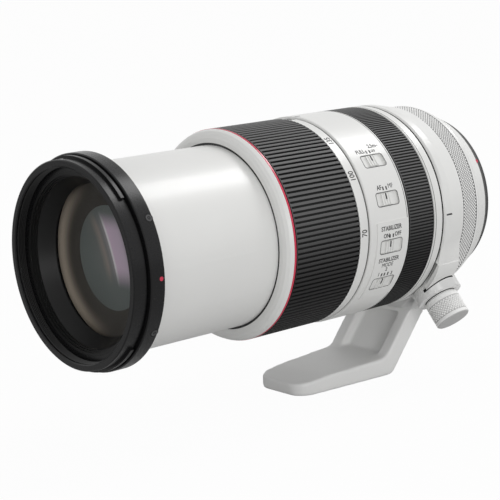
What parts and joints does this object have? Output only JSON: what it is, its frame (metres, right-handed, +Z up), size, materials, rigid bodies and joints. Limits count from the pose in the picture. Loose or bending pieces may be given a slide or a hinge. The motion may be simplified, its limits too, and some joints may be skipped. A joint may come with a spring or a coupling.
{
  "type": "telephoto zoom lens",
  "caption": "White telephoto zoom lens run out to its long end, with ribbed zoom and focus rings, a switch panel and a turning tripod collar with a foot.",
  "frame": {"origin": "on the optical axis, at the rear face of the mount flange", "axes": "-Y points out of the front of the lens along the optical axis, +X to the side with the switches, +Z up"},
  "size_m": [0.0914, 0.2078, 0.119],
  "materials": {
    "white_paint": "satin",
    "black_paint": "satin",
    "black_plastic": "matte",
    "white_plastic": "satin",
    "grip_rubber": "matte",
    "red_trim": "gloss",
    "mount_steel": "satin",
    "bare_alloy": "satin",
    "contact_gold": "polished",
    "follower_brass": "satin",
    "lens_glass": "coated, clear",
    "circuit_board": "matte",
    "iris_black": "matte"
  },
  "bodies": {
    "barrel": {"mount_ring": "mount_steel", "mount_screws": "mount_steel", "mount_gasket": "grip_rubber", "contact_block": "black_plastic", "contact_pins": "contact_gold", "rear_cover": "white_paint", "main_barrel": "white_paint", "switch_panel": "white_paint", "guide_tube": "bare_alloy", "red_ring": "red_trim", "front_cap": "white_paint", "barrel_seal": "black_plastic", "rear_cell": "black_paint", "rear_lens": "lens_glass", "main_board": "circuit_board", "focus_frame": "bare_alloy", "focus_rods": "mount_steel", "focus_motors": "bare_alloy"},
    "zoom_ring": {"zoom_ring": "white_paint", "zoom_rubber": "grip_rubber", "cam_sleeve": "bare_alloy"},
    "front_barrel": {"inner_barrel": "white_paint", "front_ring": "black_paint", "barrel_followers": "follower_brass", "front_cell": "black_paint", "front_retainer": "black_paint", "front_lens": "lens_glass"},
    "focus_ring": {"focus_ring": "black_paint", "focus_rubber": "grip_rubber"},
    "control_ring": {"control_ring": "white_paint"},
    "collar": {"collar_base": "white_paint", "tripod_bush": "mount_steel", "hinge_pin": "mount_steel"},
    "collar_strap": {"collar_strap": "white_paint"},
    "clamp_shaft": {"clamp_shaft": "mount_steel"},
    "clamp_knob": {"clamp_knob": "white_paint"},
    "focus_switch": {"focus_switch": "white_plastic"},
    "limit_switch": {"limit_switch": "white_plastic"},
    "steady_switch": {"steady_switch": "white_plastic"},
    "mode_switch": {"mode_switch": "white_plastic"},
    "focus_group_a": {"focus_carriage_a": "black_paint", "focus_lens_a": "lens_glass"},
    "focus_group_b": {"focus_carriage_b": "black_paint", "focus_lens_b": "lens_glass"},
    "zoom_group": {"zoom_carriage": "black_paint", "zoom_followers": "follower_brass", "zoom_lens": "lens_glass"},
    "steady_frame": {"steady_frame": "bare_alloy"},
    "steady_cell": {"steady_cell": "black_paint", "steady_lens": "lens_glass"},
    "iris_ring": {"iris_ring": "bare_alloy"},
    "iris_blade_1": {"iris_blade_1": "iris_black"},
    "iris_blade_2": {"iris_blade_2": "iris_black"},
    "iris_blade_3": {"iris_blade_3": "iris_black"},
    "iris_blade_4": {"iris_blade_4": "iris_black"},
    "iris_blade_5": {"iris_blade_5": "iris_black"},
    "iris_blade_6": {"iris_blade_6": "iris_black"},
    "iris_blade_7": {"iris_blade_7": "iris_black"},
    "iris_blade_8": {"iris_blade_8": "iris_black"},
    "iris_blade_9": {"iris_blade_9": "iris_black"}
  },
  "joints": [
    {"name": "zoom_turn", "type": "hinge", "parent": "barrel", "child": "zoom_ring", "pos_m": [0, -0.1, 0], "axis": [0, -1, 0], "range_deg": [0, 90]},
    {"name": "barrel_slide", "type": "slide", "parent": "barrel", "child": "front_barrel", "axis": [0, 1, 0], "range_m": [0, 0.0565]},
    {"name": "zoom_group_slide", "type": "slide", "parent": "barrel", "child": "zoom_group", "axis": [0, 1, 0], "range_m": [0, 0.006]},
    {"name": "focus_ring_turn", "type": "hinge", "parent": "barrel", "child": "focus_ring", "pos_m": [0, -0.0534, 0], "axis": [0, -1, 0], "continuous": true},
    {"name": "control_ring_turn", "type": "hinge", "parent": "barrel", "child": "control_ring", "pos_m": [0, -0.0196, 0], "axis": [0, -1, 0], "continuous": true},
    {"name": "collar_turn", "type": "hinge", "parent": "barrel", "child": "collar", "pos_m": [0, -0.0324, 0], "axis": [0, -1, 0], "continuous": true},
    {"name": "strap_open", "type": "hinge", "parent": "collar", "child": "collar_strap", "pos_m": [-0.03884, -0.0324, 0.02427], "axis": [0, -1, 0], "range_deg": [0, 60]},
    {"name": "clamp_slide", "type": "slide", "parent": "collar", "child": "clamp_shaft", "axis": [0.6428, 0, -0.766], "range_m": [0, 0.0015]},
    {"name": "knob_turn", "type": "hinge", "parent": "clamp_shaft", "child": "clamp_knob", "pos_m": [0.03664, -0.0305, -0.04367], "axis": [0.6428, 0, -0.766], "range_deg": [0, 540]},
    {"name": "focus_switch_slide", "type": "slide", "parent": "barrel", "child": "focus_switch", "axis": [0, 1, 0], "range_m": [0, 0.002]},
    {"name": "limit_switch_slide", "type": "slide", "parent": "barrel", "child": "limit_switch", "axis": [0, 1, 0], "range_m": [0, 0.002]},
    {"name": "steady_switch_slide", "type": "slide", "parent": "barrel", "child": "steady_switch", "axis": [0, 1, 0], "range_m": [0, 0.002]},
    {"name": "mode_switch_slide", "type": "slide", "parent": "barrel", "child": "mode_switch", "axis": [0, 1, 0], "range_m": [0, 0.002]},
    {"name": "focus_a_slide", "type": "slide", "parent": "barrel", "child": "focus_group_a", "axis": [0, -1, 0], "range_m": [-0.0025, 0.0025]},
    {"name": "focus_b_slide", "type": "slide", "parent": "barrel", "child": "focus_group_b", "axis": [0, -1, 0], "range_m": [-0.001, 0.003]},
    {"name": "steady_x", "type": "slide", "parent": "zoom_group", "child": "steady_frame", "axis": [1, 0, 0], "range_m": [-0.001, 0.001]},
    {"name": "steady_z", "type": "slide", "parent": "steady_frame", "child": "steady_cell", "axis": [0, 0, 1], "range_m": [-0.001, 0.001]},
    {"name": "iris_turn", "type": "hinge", "parent": "zoom_group", "child": "iris_ring", "pos_m": [0, -0.066, 0], "axis": [0, -1, 0], "range_deg": [0, 15]},
    {"name": "iris_blade_1_turn", "type": "hinge", "parent": "zoom_group", "child": "iris_blade_1", "pos_m": [0.0305, -0.064, 0], "axis": [0, -1, 0], "range_deg": [0, 26]},
    {"name": "iris_blade_2_turn", "type": "hinge", "parent": "zoom_group", "child": "iris_blade_2", "pos_m": [0.02336, -0.064, 0.01961], "axis": [0, -1, 0], "range_deg": [0, 26]},
    {"name": "iris_blade_3_turn", "type": "hinge", "parent": "zoom_group", "child": "iris_blade_3", "pos_m": [0.0053, -0.064, 0.03004], "axis": [0, -1, 0], "range_deg": [0, 26]},
    {"name": "iris_blade_4_turn", "type": "hinge", "parent": "zoom_group", "child": "iris_blade_4", "pos_m": [-0.01525, -0.064, 0.02641], "axis": [0, -1, 0], "range_deg": [0, 26]},
    {"name": "iris_blade_5_turn", "type": "hinge", "parent": "zoom_group", "child": "iris_blade_5", "pos_m": [-0.02866, -0.064, 0.01043], "axis": [0, -1, 0], "range_deg": [0, 26]},
    {"name": "iris_blade_6_turn", "type": "hinge", "parent": "zoom_group", "child": "iris_blade_6", "pos_m": [-0.02866, -0.064, -0.01043], "axis": [0, -1, 0], "range_deg": [0, 26]},
    {"name": "iris_blade_7_turn", "type": "hinge", "parent": "zoom_group", "child": "iris_blade_7", "pos_m": [-0.01525, -0.064, -0.02641], "axis": [0, -1, 0], "range_deg": [0, 26]},
    {"name": "iris_blade_8_turn", "type": "hinge", "parent": "zoom_group", "child": "iris_blade_8", "pos_m": [0.0053, -0.064, -0.03004], "axis": [0, -1, 0], "range_deg": [0, 26]},
    {"name": "iris_blade_9_turn", "type": "hinge", "parent": "zoom_group", "child": "iris_blade_9", "pos_m": [0.02336, -0.064, -0.01961], "axis": [0, -1, 0], "range_deg": [0, 26]}
  ],
  "couplings": [
    {"joint": "barrel_slide", "follows": "zoom_turn", "m_per_rad": 0.035969},
    {"joint": "zoom_group_slide", "follows": "zoom_turn", "m_per_rad": 0.0038197},
    {"joint": "clamp_slide", "follows": "knob_turn", "m_per_rad": 0.00015915},
    {"joint": "iris_blade_1_turn", "follows": "iris_turn", "ratio": 1.7333},
    {"joint": "iris_blade_2_turn", "follows": "iris_turn", "ratio": 1.7333},
    {"joint": "iris_blade_3_turn", "follows": "iris_turn", "ratio": 1.7333},
    {"joint": "iris_blade_4_turn", "follows": "iris_turn", "ratio": 1.7333},
    {"joint": "iris_blade_5_turn", "follows": "iris_turn", "ratio": 1.7333},
    {"joint": "iris_blade_6_turn", "follows": "iris_turn", "ratio": 1.7333},
    {"joint": "iris_blade_7_turn", "follows": "iris_turn", "ratio": 1.7333},
    {"joint": "iris_blade_8_turn", "follows": "iris_turn", "ratio": 1.7333},
    {"joint": "iris_blade_9_turn", "follows": "iris_turn", "ratio": 1.7333}
  ]
}
